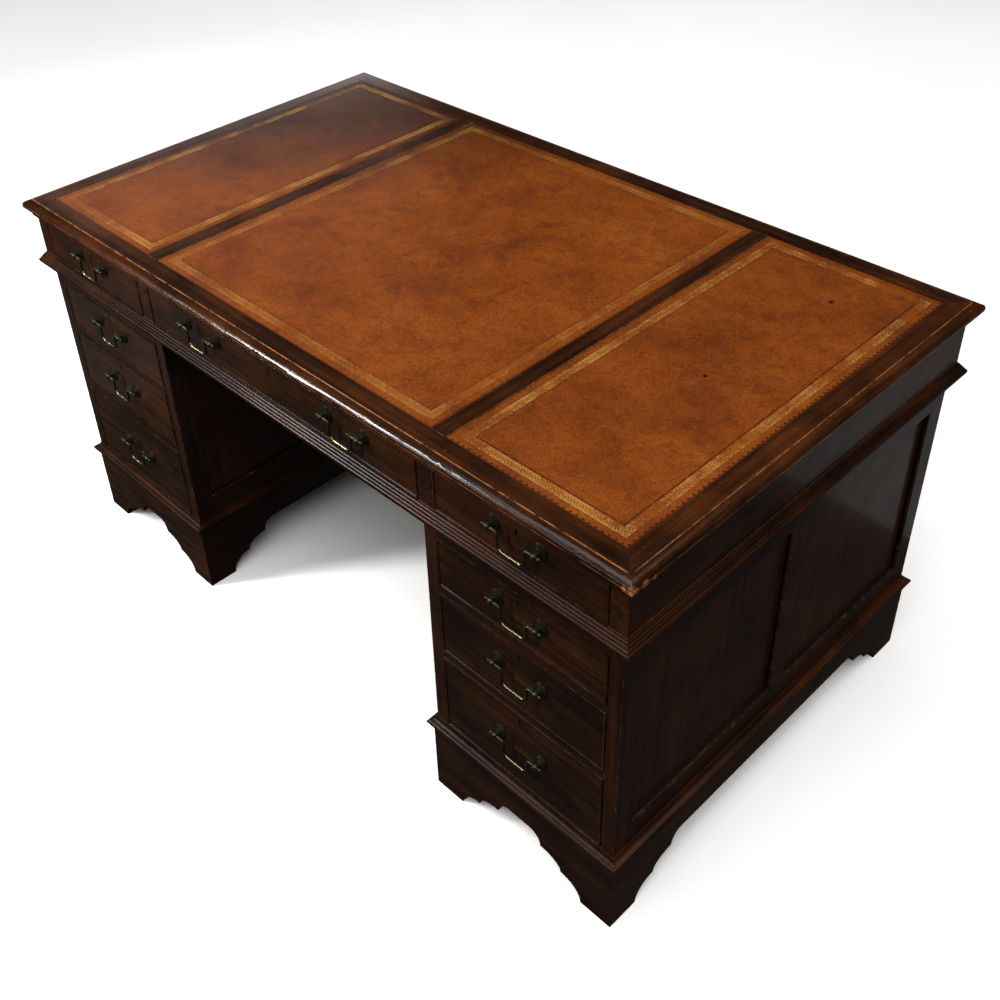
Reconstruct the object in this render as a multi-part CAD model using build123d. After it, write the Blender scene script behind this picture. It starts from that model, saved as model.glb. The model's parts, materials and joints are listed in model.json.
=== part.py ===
from build123d import *

import os

# A mahogany pedestal writing desk: a leather-lined top over a frieze of three drawers, standing on two
# pedestals of three drawers each. Millimetres. X runs along the width, the drawers open towards -Y and
# +Z is up. The origin is on the floor, under the middle of the top.

# ------------------------------------------------------------------ driving sizes
# Top, edge to edge
desk_width = 1524.0
desk_depth = 878.0
top_thickness = 36.0
top_overhang = 17.0
border_width = 48.0
core_thickness = 22.0
leather_thickness = 1.6
leather_sink = 0.2
thumb_height = 10.5
thumb_quirk = 1.5
thumb_width = 16.0
edge_flat = 4.0
edge_round = 5.0
edge_fillet = 1.5
edge_hollow_height = 9.0
edge_bead_height = 6.5
edge_bead_neck = 3.0

# Frieze
frieze_height = 80.0
frieze_end_thickness = 30.0
frieze_back_thickness = 25.0
divider_width = 32.0
waist_height = 24.0
waist_projection = 14.0
waist_fillet = 1.5
waist_reeds = 4
waist_tip_height = 6.0
waist_tip_flat = 3.0
waist_undercut = 6.0
reed_fullness = 0.28
floor_rail_width = 80.0
dust_panel_thickness = 6.0

# Pedestals
pedestal_width = 385.0
pedestal_inset = 6.0
wall_thickness = 25.0
stile_width = 42.0
muntin_width = 44.0
top_rail_height = 61.0
bottom_rail_height = 72.0
panel_thickness = 10.0
panel_recess = 9.0
frame_bevel = 3.0
head_rail_height = 37.0
head_rail_thickness = 25.0
rail_height = 15.0
rail_width = 60.0
runner_width = 30.0
board_thickness = 20.0
upper_opening = 98.0
middle_opening = 129.0
lower_opening = 166.0

# Base moulding and bracket plinth
base_height = 26.0
base_projection = 14.0
base_fillet = 1.5
base_round = 5.0
base_shelf = 1.0
base_tip_height = 11.0
base_foot_flat = 3.0
base_foot_overhang = 2.0
plinth_height = 150.0
plinth_projection = 5.0
plinth_board = 22.0
bracket_foot = 62.0
bracket_steps = [(43.0, 37.0), (45.0, 25.0), (25.0, 26.0)]
apron_flat = 24.0
corner_block = 34.0
corner_block_lift = 2.0

# Drawers
drawer_gap = 1.0
run_gap = 0.3
front_thickness = 22.0
bead_width = 3.0
bead_depth = 10.0
bead_proud = 1.5
drawer_length = 600.0
side_thickness = 11.0
side_drop = 8.0
drawer_bottom_thickness = 7.0
drawer_bottom_lift = 5.0
drawer_back_drop = 6.0

# Handles, locks
handle_spacing = 87.0
frieze_handle_rise = 12.0
upper_handle_rise = 12.0
middle_handle_rise = 10.0
lower_handle_rise = 6.0
centre_handle_offset = 191.0
rose_radius = 14.0
rose_middle_radius = 11.5
rose_inner_radius = 7.3
rose_thickness = 1.5
post_stand = 11.0
stem_radius = 3.2
ball_radius = 5.2
pin_radius = 2.0
pin_clearance = 0.05
bail_gap = 0.4
bail_radius = 2.4
bail_inset = 18.0
bail_drop = 32.0
shoulder_radius = 6.0
corner_radius = 11.0
bail_bead_radius = 3.3
knob_radius = 3.0
shank_radius = 2.5
shank_clearance = 0.2
nut_radius = 6.0
nut_thickness = 4.0
keyhole_below_top = 16.0
keyhole_radius = 2.4
keyhole_height = 13.0
escutcheon_rim = 1.4
escutcheon_depth = 3.0
lock_below_top = 4.0
lock_width = 60.0
lock_height = 34.0
lock_thickness = 9.0

# ------------------------------------------------------------------ sizes that follow
top_half_width = desk_width / 2
top_half_depth = desk_depth / 2
frieze_half_width = top_half_width - top_overhang
frieze_half_depth = top_half_depth - top_overhang
pedestal_outer = frieze_half_width - pedestal_inset
pedestal_inner = pedestal_outer - pedestal_width
pedestal_half_depth = frieze_half_depth - pedestal_inset

pedestal_foot_z = plinth_height
lower_floor_z = plinth_height + base_height
lower_rail_z = lower_floor_z + lower_opening
middle_floor_z = lower_rail_z + rail_height
middle_rail_z = middle_floor_z + middle_opening
upper_floor_z = middle_rail_z + rail_height
head_rail_z = upper_floor_z + upper_opening
pedestal_top_z = head_rail_z + head_rail_height
frieze_floor_z = pedestal_top_z + waist_height
top_under_z = frieze_floor_z + frieze_height
desk_height = top_under_z + top_thickness
leather_bed_z = desk_height - leather_sink - leather_thickness

leather_half_width = top_half_width - border_width
leather_half_depth = top_half_depth - border_width
divider_inner = pedestal_inner
divider_outer = divider_inner + divider_width

os.makedirs("parts", exist_ok=True)


# ------------------------------------------------------------------ helpers
UP = Vector(0, 0, 1)
SIDES = (Vector(0, -1, 0), Vector(0, 1, 0), Vector(-1, 0, 0), Vector(1, 0, 0))


def save(name, *solids):
    """Write one node, made of one or more separate solids."""
    export_step(Compound(children=list(solids)), f"parts/{name}.step")


def block(x0, x1, y0, y1, z0, z1):
    """A square-edged board between two corners."""
    corner = Pos((x0 + x1) / 2, (y0 + y1) / 2, (z0 + z1) / 2)
    return (corner * Box(abs(x1 - x0), abs(y1 - y0), abs(z1 - z0))).solid()


def quarter(centre, run, rise, start):
    """A quarter of an ellipse, from start degrees to 90 degrees further round."""
    return EllipticalCenterArc(centre, run, rise, start_angle=start, arc_size=90)


def mitre_wedge(out, half_x, half_y, reach, back, low, high):
    """The plan area of one side of a rectangular ring, ending in 45 degree mitres."""
    far_x, far_y = half_x + reach, half_y + reach
    near_x, near_y = half_x - back, half_y - back
    if out[0]:
        corners = [(far_x, -far_y), (far_x, far_y), (near_x, near_y), (near_x, -near_y)]
        corners = [(out[0] * x, y) for x, y in corners]
    else:
        corners = [(-far_x, far_y), (far_x, far_y), (near_x, near_y), (-near_x, near_y)]
        corners = [(x, out[1] * y) for x, y in corners]
    plan = Pos(0, 0, low) * make_face(Polyline(*corners, close=True))
    return extrude(plan, amount=high - low, dir=(0, 0, 1))


def mitred_ring(section, half_x, half_y, base_z, reach, back):
    """Four mitred lengths of a moulding round a rectangle, one for each side.

    The section's x is the distance out from the rectangle and its y the height over base_z. It
    lies within reach outside the rectangle and back inside it."""
    tall = section.bounding_box().max.Y
    pieces = []
    for out in SIDES:
        half = half_x if out.X else half_y
        plane = Plane(out * half + Vector(0, 0, base_z), x_dir=out, z_dir=out.cross(UP))
        length = extrude(plane * section, amount=max(half_x, half_y) + reach, both=True)
        wedge = mitre_wedge(tuple(out), half_x, half_y, reach, back, base_z, base_z + tall)
        pieces.append((length & wedge).solid())
    return pieces


# ------------------------------------------------------------------ moulding sections
def top_edge_section():
    """Flat inner part, thumb moulding at the edge, hollow below it and a bead at the bottom."""
    tip, high = top_overhang, top_thickness
    thumb_start = tip - thumb_width
    thumb_foot = high - thumb_quirk - thumb_height
    round_foot = thumb_foot - edge_flat
    shelf = tip - edge_round
    neck = edge_bead_neck
    bead_top = edge_bead_height
    hollow_foot = bead_top + edge_fillet / 2
    hollow_out = shelf - edge_fillet
    hollow_in = neck + edge_fillet / 2
    edge = [
        Polyline(
            (neck, 0),
            (tip - border_width, 0),
            (tip - border_width, high),
            (thumb_start, high),
            (thumb_start, high - thumb_quirk),
        ),
        quarter((thumb_start, thumb_foot), thumb_width, thumb_height, 0),
        Line((tip, thumb_foot), (tip, round_foot)),
        quarter((shelf, round_foot), edge_round, round_foot - hollow_foot - edge_hollow_height, 270),
        Line((shelf, hollow_foot + edge_hollow_height), (hollow_out, hollow_foot + edge_hollow_height)),
        quarter((hollow_out, hollow_foot), hollow_out - hollow_in, edge_hollow_height, 90),
        Line((hollow_in, hollow_foot), (neck, bead_top)),
        ThreePointArc((neck, bead_top), (neck + bead_top / 2, bead_top / 2), (neck, 0)),
    ]
    return make_face(edge)


def waist_section():
    """A small fillet, then reeds stepping outwards and down to the tip, undercut below."""
    fillet, tip_z = waist_fillet, waist_tip_height
    first_z = waist_height - fillet
    step_d = (waist_projection - fillet) / waist_reeds
    step_z = (first_z - tip_z) / waist_reeds
    edge = [Polyline((0, 0), (0, waist_height), (fillet, waist_height), (fillet, first_z))]
    for n in range(waist_reeds):
        high = (fillet + n * step_d, first_z - n * step_z)
        low = (high[0] + step_d, high[1] - step_z)
        bulge = (low[0] - reed_fullness * step_d, high[1] - reed_fullness * step_z)
        edge.append(ThreePointArc(high, bulge, low))
    edge.append(
        Polyline(
            (waist_projection, tip_z),
            (waist_projection, tip_z - waist_tip_flat),
            (waist_projection - waist_undercut, 0),
            (0, 0),
        )
    )
    return make_face(edge)


def base_section():
    """A hollow running down to a half-round tip, undercut back to the plinth."""
    tip_z, fillet = base_tip_height, base_fillet
    shelf = base_projection - base_round
    hollow_top = base_height - fillet
    hollow_foot = tip_z + base_round + base_shelf
    foot = plinth_projection + base_foot_overhang
    edge = [
        Polyline((0, 0), (0, base_height), (fillet, base_height), (fillet, hollow_top)),
        quarter((shelf, hollow_top), shelf - fillet, hollow_top - hollow_foot, 180),
        Line((shelf, hollow_foot), (shelf, tip_z + base_round)),
        ThreePointArc((shelf, tip_z + base_round), (base_projection, tip_z), (shelf, tip_z - base_round)),
        Polyline((shelf, tip_z - base_round), (foot, base_foot_flat), (foot, 0), (0, 0)),
    ]
    return make_face(edge)


# ------------------------------------------------------------------ top
def build_top():
    borders = mitred_ring(
        top_edge_section(), frieze_half_width, frieze_half_depth, top_under_z, top_overhang + 1, border_width
    )
    save("top_borders", *borders)
    half_x, half_y = leather_half_width, leather_half_depth
    bed = leather_bed_z
    save("top_core_board", block(-half_x, half_x, -half_y, half_y, bed - core_thickness, bed))
    strips = [
        block(side * divider_inner, side * divider_outer, -half_y, half_y, bed, desk_height)
        for side in (-1, 1)
    ]
    save("top_cross_strips", *strips)
    spans = {
        "leather_left": (-half_x, -divider_outer),
        "leather_centre": (-divider_inner, divider_inner),
        "leather_right": (divider_outer, half_x),
    }
    for name, (x0, x1) in spans.items():
        save(name, block(x0, x1, -half_y, half_y, bed, bed + leather_thickness))


# ------------------------------------------------------------------ frieze
def build_frieze():
    half_x, half_y = frieze_half_width, frieze_half_depth
    inner_x = half_x - frieze_end_thickness
    back_y = half_y - frieze_back_thickness
    low, high = frieze_floor_z, top_under_z
    save(
        "frieze_carcass",
        block(-half_x, -inner_x, -half_y, half_y, low, high),
        block(inner_x, half_x, -half_y, half_y, low, high),
        block(-inner_x, inner_x, back_y, half_y, low, high),
        block(-divider_outer, -divider_inner, -half_y, back_y, low, high),
        block(divider_inner, divider_outer, -half_y, back_y, low, high),
    )
    # The floor frame that the drawers run on, with a thin dust panel in each bay
    rail_y = half_y - floor_rail_width
    end_x = half_x - floor_rail_width
    middle_x = (divider_inner + divider_outer) / 2
    run_in, run_out = middle_x - floor_rail_width / 2, middle_x + floor_rail_width / 2
    low, high = pedestal_top_z, frieze_floor_z
    boards = [block(-half_x, half_x, -half_y, -rail_y, low, high)]
    boards.append(block(-half_x, half_x, rail_y, half_y, low, high))
    dust_z = (low + high - dust_panel_thickness) / 2
    boards.append(block(-run_in, run_in, -rail_y, rail_y, dust_z, dust_z + dust_panel_thickness))
    for side in (-1, 1):
        boards.append(block(side * end_x, side * half_x, -rail_y, rail_y, low, high))
        boards.append(block(side * run_in, side * run_out, -rail_y, rail_y, low, high))
        boards.append(
            block(side * run_out, side * end_x, -rail_y, rail_y, dust_z, dust_z + dust_panel_thickness)
        )
    save("frieze_floor", *boards)
    save("waist_moulding", *mitred_ring(waist_section(), half_x, half_y, low, waist_projection + 1, 0))


# ------------------------------------------------------------------ pedestals
def framed_wall(length):
    """A framed wall with two recessed panels, lying in its own plane.

    x runs along the wall from its middle, y up from its foot and z out of its face."""
    high = pedestal_top_z - pedestal_foot_z
    half = length / 2
    window_low, window_high = bottom_rail_height, high - top_rail_height
    windows = [(-half + stile_width, -muntin_width / 2), (muntin_width / 2, half - stile_width)]
    plate = block(-half, half, 0, high, 0, wall_thickness)
    panels = []
    for x0, x1 in windows:
        plate = plate - block(x0, x1, window_low, window_high, -1, wall_thickness + 1)
        opening = Pos((x0 + x1) / 2, (window_low + window_high) / 2, wall_thickness - frame_bevel)
        opening = opening * Rectangle(x1 - x0, window_high - window_low)
        plate = plate - extrude(opening, amount=frame_bevel, taper=-45)
        face = wall_thickness - panel_recess
        panels.append(block(x0, x1, window_low, window_high, face - panel_thickness, face))
    cuts = [
        (-half, windows[0][0], 0, high),
        (windows[1][1], half, 0, high),
        (windows[0][0], windows[1][1], 0, window_low),
        (windows[0][0], windows[1][1], window_high, high),
        (windows[0][1], windows[1][0], window_low, window_high),
    ]
    frame = [(plate & block(x0, x1, y0, y1, 0, wall_thickness)).solid() for x0, x1, y0, y1 in cuts]
    return frame, panels


def bracket_board(length):
    """One plinth board, standing in the XY plane of its own sketch: x along it, y up.

    Its lower edge is two flat feet joined by cusped quarter curves and a straight apron."""
    run = bracket_foot + sum(step[0] for step in bracket_steps)
    fit = min(1.0, (length - apron_flat) / (2 * run))
    half = length / 2
    edge = []
    for side in (-1, 1):
        x, y = half - bracket_foot * fit, 0.0
        for step_run, step_rise in bracket_steps:
            centre = (side * (x - step_run * fit), y)
            start = 0 if side > 0 else 90
            edge.append(quarter(centre, step_run * fit, step_rise, start))
            x, y = x - step_run * fit, y + step_rise
        edge.append(Line((side * (half - bracket_foot * fit), 0), (side * half, 0)))
        edge.append(Line((side * half, 0), (side * half, plinth_height)))
    edge.append(Line((-x, y), (x, y)))
    edge.append(Line((-half, plinth_height), (half, plinth_height)))
    return make_face(edge)


def build_plinth(name, x0, x1, half_y):
    """Four bracket boards, mitred at the corners, with a square glue block inside each corner."""
    middle, half_x = (x0 + x1) / 2, (x1 - x0) / 2
    pieces = []
    for out in SIDES:
        half, other = (half_x, half_y) if out.X else (half_y, half_x)
        plane = Plane(out * half, x_dir=UP.cross(out), z_dir=out)
        board = extrude(plane * bracket_board(2 * other), amount=-plinth_board)
        wedge = mitre_wedge(tuple(out), half_x, half_y, 1, plinth_board, 0, plinth_height)
        pieces.append((board & wedge).solid())
    inner_x, inner_y = half_x - plinth_board, half_y - plinth_board
    for side_x in (-1, 1):
        for side_y in (-1, 1):
            far_x, far_y = side_x * inner_x, side_y * inner_y
            near_x, near_y = far_x - side_x * corner_block, far_y - side_y * corner_block
            pieces.append(block(near_x, far_x, near_y, far_y, corner_block_lift, plinth_height))
    save(name, *[Pos(middle, 0, 0) * piece for piece in pieces])


def build_pedestal(name, side):
    """side is -1 for the left pedestal and 1 for the right one."""
    x0, x1 = sorted((side * pedestal_inner, side * pedestal_outer))
    half_y = pedestal_half_depth
    in_x0, in_x1 = x0 + wall_thickness, x1 - wall_thickness
    back_y = half_y - wall_thickness
    foot = pedestal_foot_z

    side_frame, side_panels = framed_wall(2 * half_y)
    left_plane = Plane((x0 + wall_thickness, 0, foot), x_dir=(0, -1, 0), z_dir=(-1, 0, 0))
    right_plane = Plane((x1 - wall_thickness, 0, foot), x_dir=(0, 1, 0), z_dir=(1, 0, 0))
    frames = [plane * piece for plane in (left_plane, right_plane) for piece in side_frame]
    panels = [plane * piece for plane in (left_plane, right_plane) for piece in side_panels]
    save(f"{name}_side_frames", *frames)
    save(f"{name}_side_panels", *panels)

    back_frame, back_panels = framed_wall(in_x1 - in_x0)
    back_plane = Plane(((x0 + x1) / 2, back_y, foot), x_dir=(-1, 0, 0), z_dir=(0, 1, 0))
    save(f"{name}_back", *[back_plane * piece for piece in back_frame + back_panels])

    # Rails between the drawers, a runner behind each end of them, and kickers over the upper drawer
    pieces = [block(in_x0, in_x1, -half_y, -half_y + head_rail_thickness, head_rail_z, pedestal_top_z)]
    board_low = pedestal_top_z - board_thickness
    kicker_y = -half_y + head_rail_thickness
    rail_back = -half_y + rail_width
    for low in (lower_rail_z, middle_rail_z):
        pieces.append(block(in_x0, in_x1, -half_y, rail_back, low, low + rail_height))
    for near, far in ((in_x0, in_x0 + runner_width), (in_x1 - runner_width, in_x1)):
        for low in (lower_rail_z, middle_rail_z):
            pieces.append(block(near, far, rail_back, back_y, low, low + rail_height))
        pieces.append(block(near, far, kicker_y, back_y, head_rail_z, board_low))
    save(f"{name}_rails_and_runners", *pieces)
    save(
        f"{name}_boards",
        block(in_x0, in_x1, kicker_y, back_y, board_low, pedestal_top_z),
        block(in_x0, in_x1, -half_y, back_y, lower_floor_z - board_thickness, lower_floor_z),
    )
    half_x = (x1 - x0) / 2
    ring = mitred_ring(base_section(), half_x, half_y, plinth_height, base_projection + 1, 0)
    save(f"{name}_base_moulding", *[Pos((x0 + x1) / 2, 0, 0) * piece for piece in ring])
    build_plinth(f"{name}_plinth", x0 - plinth_projection, x1 + plinth_projection, half_y + plinth_projection)


# ------------------------------------------------------------------ handles and locks
FORWARD = Plane((0, 0, 0), x_dir=(1, 0, 0), z_dir=(0, -1, 0))


def keyhole(grow, depth):
    """A slot with a round head, sunk depth behind the face: its edge lies grow outside the key's."""
    slot_half = keyhole_radius / 2 + grow
    foot = keyhole_height - keyhole_radius + grow
    outline = Circle(keyhole_radius + grow) + Pos(0, -foot / 2) * Rectangle(2 * slot_half, foot)
    return extrude(FORWARD * outline, amount=-depth)


def handle_posts():
    """Two stepped roses with ball posts in front, and the shanks and nuts that hold them on."""
    step = rose_thickness
    middle_radius, inner_radius = rose_middle_radius, rose_inner_radius
    outline = [
        (0, 0),
        (rose_radius, 0),
        (rose_radius, step),
        (middle_radius, step),
        (middle_radius, 2 * step),
        (inner_radius, 2 * step),
        (inner_radius, 3 * step),
        (stem_radius, 3 * step),
        (stem_radius, post_stand),
        (0, post_stand),
    ]
    face = make_face(Polyline(*[(r, 0, h) for r, h in outline], close=True))
    upright = (Align.CENTER, Align.CENTER, Align.MAX)
    post = revolve(face, axis=Axis.Z) + Pos(0, 0, post_stand) * Sphere(ball_radius)
    post += Cylinder(shank_radius, front_thickness + nut_thickness, align=upright)
    post -= Pos(0, 0, post_stand) * Rot(0, 90, 0) * Cylinder(pin_radius + pin_clearance, 3 * ball_radius)
    nut = extrude(RegularPolygon(nut_radius, 6), amount=-nut_thickness)
    nut = Pos(0, 0, -front_thickness) * (nut - Cylinder(shank_radius, 3 * nut_thickness))
    half = handle_spacing / 2
    return [Pos(x, 0, 0) * (FORWARD * piece).solid() for x in (-half, half) for piece in (post, nut)]


def bail():
    """The swan-neck bail, hanging from the line of its two pins."""
    half = handle_spacing / 2
    arm, low = half - bail_inset, -bail_drop
    shoulder, corner = shoulder_radius, corner_radius
    start = half - ball_radius - bail_gap
    path = Wire(
        [
            Line((-start, 0), (-arm - shoulder, 0)),
            CenterArc((-arm - shoulder, -shoulder), shoulder, 90, -90),
            Line((-arm, -shoulder), (-arm, low + corner)),
            CenterArc((-arm + corner, low + corner), corner, 180, 90),
            Line((-arm + corner, low), (arm - corner, low)),
            CenterArc((arm - corner, low + corner), corner, 270, 90),
            Line((arm, low + corner), (arm, -shoulder)),
            CenterArc((arm + shoulder, -shoulder), shoulder, 180, -90),
            Line((arm + shoulder, 0), (start, 0)),
        ]
    )
    section = Plane((-start, 0, 0), z_dir=(1, 0, 0)) * Circle(bail_radius)
    along = Rot(0, 90, 0)
    piece = sweep(section, path=path) + Pos(0, low) * along * Sphere(bail_bead_radius)
    pin_end = half + ball_radius + bail_gap + knob_radius
    for side in (-1, 1):
        pin = Cylinder(pin_radius, pin_end - start)
        piece += Pos(side * (start + pin_end) / 2, 0) * along * pin
        piece += Pos(side * pin_end, 0) * along * Sphere(knob_radius)
    return (FORWARD * piece).solid()


# ------------------------------------------------------------------ drawers
def drawer_front(left, right, low, high, face_y, posts, key):
    """The front board, rebated for its beads and drilled for shanks and key, and the four beads."""
    bead, back = bead_width, face_y + front_thickness
    rebate_y = face_y + bead_depth
    board = block(left + bead, right - bead, face_y, back, low + bead, high - bead)
    board += block(left, right, rebate_y, back, low, high)
    for x, z in posts:
        drill = Cylinder(shank_radius + shank_clearance, 3 * front_thickness)
        board -= Pos(x, face_y, z) * Rot(90, 0, 0) * drill
    board -= Pos(key[0], face_y, key[1]) * keyhole(escutcheon_rim, escutcheon_depth)
    board -= Pos(key[0], face_y, key[1]) * keyhole(0, front_thickness)
    proud_y = face_y - bead_proud
    beads = [
        block(left, left + bead, proud_y, rebate_y, low, high),
        block(right - bead, right, proud_y, rebate_y, low, high),
        block(left + bead, right - bead, proud_y, rebate_y, low, low + bead),
        block(left + bead, right - bead, proud_y, rebate_y, high - bead, high),
    ]
    return [board.solid(), *beads]


def drawer_box(left, right, floor_z, ceiling_z, face_y):
    """Two sides, a bottom let in between them, and a back standing on the bottom."""
    start_y, end_y = face_y + front_thickness, face_y + drawer_length
    low, high = floor_z + run_gap, ceiling_z - side_drop
    in_left, in_right = left + side_thickness, right - side_thickness
    bottom_low = low + drawer_bottom_lift
    bottom_high = bottom_low + drawer_bottom_thickness
    return [
        block(left, in_left, start_y, end_y, low, high),
        block(in_right, right, start_y, end_y, low, high),
        block(in_left, in_right, start_y, end_y, bottom_low, bottom_high),
        block(in_left, in_right, end_y - side_thickness, end_y, bottom_high, high - drawer_back_drop),
    ]


def build_drawer(name, x0, x1, floor_z, opening, face_y, rise, handles):
    """One drawer in the opening x0 to x1; handles gives each bail's name and its middle's x.

    rise is how far the bails' pins lie over the middle of the front."""
    left, right = x0 + drawer_gap, x1 - drawer_gap
    low, high = floor_z + drawer_gap, floor_z + opening - drawer_gap
    pin_z = (low + high) / 2 + rise
    middle = (x0 + x1) / 2
    key = (middle, high - keyhole_below_top)
    posts = [(x + side * handle_spacing / 2, pin_z) for x in handles.values() for side in (-1, 1)]
    save(f"{name}_front", *drawer_front(left, right, low, high, face_y, posts, key))
    save(f"{name}_box", *drawer_box(left, right, floor_z, floor_z + opening, face_y))
    fittings = [Pos(x, face_y, pin_z) * piece for x in handles.values() for piece in handle_posts()]
    escutcheon = keyhole(escutcheon_rim, escutcheon_depth) - keyhole(0, 2 * escutcheon_depth)
    fittings.append((Pos(key[0], face_y, key[1]) * escutcheon).solid())
    lock_y, lock_top = face_y + front_thickness, high - lock_below_top
    half = lock_width / 2
    fittings.append(
        block(middle - half, middle + half, lock_y, lock_y + lock_thickness, lock_top - lock_height, lock_top)
    )
    save(f"{name}_fittings", *fittings)
    for bail_name, x in handles.items():
        save(bail_name, Pos(x, face_y - post_stand, pin_z) * bail())


def build_drawers():
    frieze_y = -frieze_half_depth
    outer = frieze_half_width - frieze_end_thickness
    build_drawer(
        "frieze_centre_drawer",
        -divider_inner,
        divider_inner,
        frieze_floor_z,
        frieze_height,
        frieze_y,
        frieze_handle_rise,
        {
            "frieze_centre_bail_left": -centre_handle_offset,
            "frieze_centre_bail_right": centre_handle_offset,
        },
    )
    levels = {
        "upper": (upper_floor_z, upper_opening, upper_handle_rise),
        "middle": (middle_floor_z, middle_opening, middle_handle_rise),
        "lower": (lower_floor_z, lower_opening, lower_handle_rise),
    }
    for name, side in (("left", -1), ("right", 1)):
        x0, x1 = sorted((side * divider_outer, side * outer))
        build_drawer(
            f"frieze_{name}_drawer",
            x0,
            x1,
            frieze_floor_z,
            frieze_height,
            frieze_y,
            frieze_handle_rise,
            {f"frieze_{name}_bail": (x0 + x1) / 2},
        )
        x0, x1 = sorted((side * (pedestal_inner + wall_thickness), side * (pedestal_outer - wall_thickness)))
        for level, (floor_z, opening, rise) in levels.items():
            build_drawer(
                f"{name}_{level}_drawer",
                x0,
                x1,
                floor_z,
                opening,
                -pedestal_half_depth,
                rise,
                {f"{name}_{level}_bail": (x0 + x1) / 2},
            )


build_top()
build_frieze()
build_pedestal("left_pedestal", -1)
build_pedestal("right_pedestal", 1)
build_drawers()
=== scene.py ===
"""The looks of a pedestal writing desk: French polished mahogany, tooled hide and aged brass."""

import json
import math
import random

import bmesh
import bpy
from mathutils import Matrix, Vector, noise


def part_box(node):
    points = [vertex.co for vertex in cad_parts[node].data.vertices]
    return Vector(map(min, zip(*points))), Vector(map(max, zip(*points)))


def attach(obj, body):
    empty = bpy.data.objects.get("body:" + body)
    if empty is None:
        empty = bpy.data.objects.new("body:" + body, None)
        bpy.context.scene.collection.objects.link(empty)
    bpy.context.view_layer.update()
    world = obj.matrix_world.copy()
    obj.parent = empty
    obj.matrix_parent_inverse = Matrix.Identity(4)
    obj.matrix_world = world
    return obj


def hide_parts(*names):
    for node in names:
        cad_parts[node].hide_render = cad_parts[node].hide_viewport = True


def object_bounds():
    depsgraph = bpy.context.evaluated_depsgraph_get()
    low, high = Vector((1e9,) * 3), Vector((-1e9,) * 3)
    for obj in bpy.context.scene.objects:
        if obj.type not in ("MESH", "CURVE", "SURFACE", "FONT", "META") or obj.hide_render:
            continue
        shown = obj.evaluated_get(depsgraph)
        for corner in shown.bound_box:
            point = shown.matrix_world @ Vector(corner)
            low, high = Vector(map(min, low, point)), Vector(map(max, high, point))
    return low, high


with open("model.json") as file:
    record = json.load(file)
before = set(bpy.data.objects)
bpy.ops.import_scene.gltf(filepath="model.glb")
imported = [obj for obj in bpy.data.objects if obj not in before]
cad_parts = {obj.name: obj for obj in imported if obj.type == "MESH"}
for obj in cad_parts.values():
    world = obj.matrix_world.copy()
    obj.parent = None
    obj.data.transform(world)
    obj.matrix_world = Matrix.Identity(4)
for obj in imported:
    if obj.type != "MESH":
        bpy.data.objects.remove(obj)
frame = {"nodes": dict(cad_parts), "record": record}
cad_low, cad_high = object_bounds()

MM = 0.001
TOP_Z = cad_high.z
NODES = frame["nodes"]
BODY_OF = {node: body for body, nodes in frame["record"]["behaviour"]["bodies"].items() for node in nodes}

# Camera: stands to the right of the front and looks down on the top
CAMERA_AZIMUTH = math.radians(47.83)
CAMERA_ELEVATION = math.radians(35.67)
CAMERA_ROLL = math.radians(-2.90)
CAMERA_DISTANCE = 2.3859
CAMERA_TARGET = Vector((-0.0292, 0.0017, 0.4506))
CAMERA_LENS_MM = 44.41
CAMERA_SHIFT = (0.0479, -0.1121)

# Soft boxes: name, place, aim, width, height and watts
SOFT_BOXES = [
    ("overhead_softbox", (2.0, -2.0, 9.0), (0.0, 0.0, 0.0), 13.0, 13.0, 1800.0),
    ("key_softbox", (1.3, -1.2, 2.6), (0.1, -0.1, 0.7), 0.9, 0.9, 12.0),
    ("front_left_softbox", (-1.46, -1.93, 1.84), (0.2, -0.4, 0.7), 0.34, 1.7, 105.0),
    ("front_strip", (-0.45, -2.5, 1.8), (0.6, -0.4, 0.7), 0.5, 0.06, 2.2),
    ("back_left_strip", (-2.9, 1.3, 1.5), (-0.2, 0.0, 0.77), 1.8, 0.4, 5.0),
    ("back_right_card", (1.18, 1.1, 0.03), (1.18, 1.1, 1.0), 0.75, 0.85, 0.28),
    ("front_left_card", (-1.35, -0.85, 0.03), (-1.35, -0.85, 1.0), 0.7, 0.5, 0.06),
]
ROOM_GLOW = 0.03

# Arrises: the angle that counts as a corner, and the shortest edge rubbed down, in widths of its arris
ARRIS_ANGLE = math.radians(28)
SHORTEST_ARRIS = 4
SMOOTH_ANGLE = math.radians(32)
FLAT_ANGLE = math.radians(0.5)
WELD = 0.01 * MM

# A board's place in the figure is drawn at random within this length, so that no two boards match
FIGURE_LENGTH = 4.0

# Knocks: a face nearer level than this cosine is flat, and takes this share of a moulding's dents
LEVEL = 0.98
FLAT_DENTS = 0.15

# Tooled borders of the hides, measured in from the hide's edge
HIDE_ROLL = 1.0 * MM
BAND_OUTER = 14.0 * MM
BAND_INNER = 28.0 * MM
BLIND_LINE = 31.0 * MM
TOOL_SLOPE = 0.6 * MM
BAND_DEPTH = 0.15 * MM
LINE_DEPTH = 0.35 * MM
FIELD_EDGE = 40.0 * MM
FIELD_CELL = 25.0 * MM
FIELD_SWELL = 0.12 * MM
FAR_FROM_EDGE = 1.0

# The swells of a hide's field are this many millimetres across
SWELL_ACROSS = 80.0

# Gold roll: the loops' repeat and height, the fillets' distance from its middle, its size's half width
ROLL_REPEAT = 10.0 * MM
ROLL_CREST = 3.8 * MM
ROLL_FILLET = 6.0 * MM
SIZE_INNER = 5.4 * MM
SIZE_OUTER = 7.6 * MM
ROLL_LINE_INNER = 0.4 * MM
ROLL_LINE_OUTER = 1.3 * MM

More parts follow.
